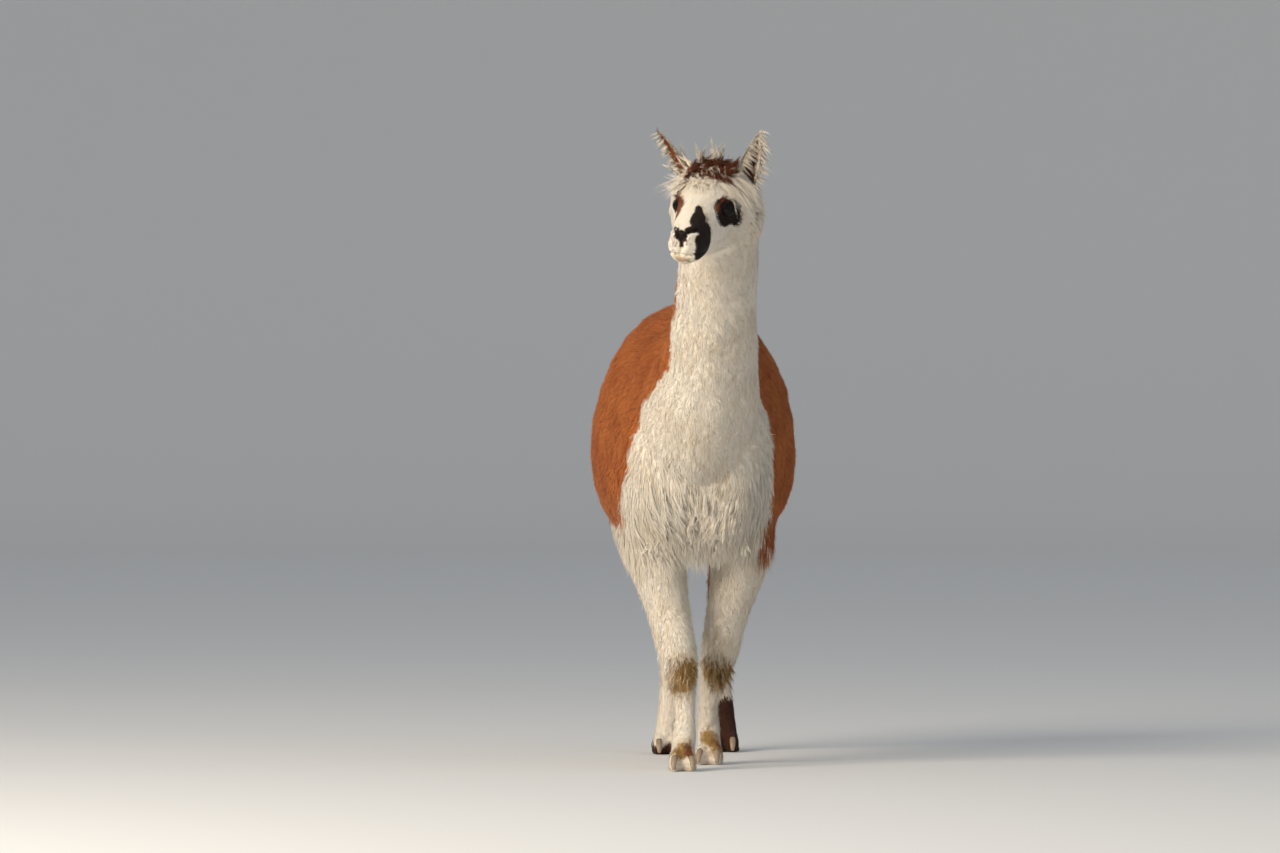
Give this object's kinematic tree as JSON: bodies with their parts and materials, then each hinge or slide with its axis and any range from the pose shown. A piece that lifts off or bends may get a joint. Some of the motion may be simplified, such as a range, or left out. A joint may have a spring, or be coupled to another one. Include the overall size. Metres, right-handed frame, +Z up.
{
  "type": "alpaca",
  "caption": "Life-size still model of a walking alpaca with a pale neck and legs, a chestnut body blanket and a dark patch on the muzzle.",
  "frame": {"origin": "on the floor, under the middle of the whole box", "axes": "+Z up, the animal faces -Y, its own left side is at +X"},
  "size_m": [0.4466, 1.3876, 1.3476],
  "materials": {
    "white_wool": "soft matte cream-white wool, short on the face and legs",
    "chestnut_wool": "soft matte chestnut wool, dense and plush",
    "dark_wool": "short dark brown hair",
    "eye_dark": "wet, glossy, nearly black",
    "nail_horn": "worn horn, satin"
  },
  "bodies": {
    "root": {"head": "white_wool", "ear_left": "white_wool", "ear_right": "white_wool", "eye_left": "eye_dark", "eye_right": "eye_dark", "neck": "white_wool", "trunk": "chestnut_wool", "tail": "chestnut_wool", "front_left_forearm": "white_wool", "front_left_cannon": "white_wool", "front_left_foot": "white_wool", "front_left_nail_a": "nail_horn", "front_left_nail_b": "nail_horn", "front_right_forearm": "white_wool", "front_right_cannon": "white_wool", "front_right_foot": "white_wool", "front_right_nail_a": "nail_horn", "front_right_nail_b": "nail_horn", "hind_left_thigh": "chestnut_wool", "hind_left_cannon": "white_wool", "hind_left_foot": "dark_wool", "hind_left_nail_a": "nail_horn", "hind_left_nail_b": "nail_horn", "hind_right_thigh": "chestnut_wool", "hind_right_cannon": "white_wool", "hind_right_foot": "dark_wool", "hind_right_nail_a": "nail_horn", "hind_right_nail_b": "nail_horn"}
  },
  "joints": []
}
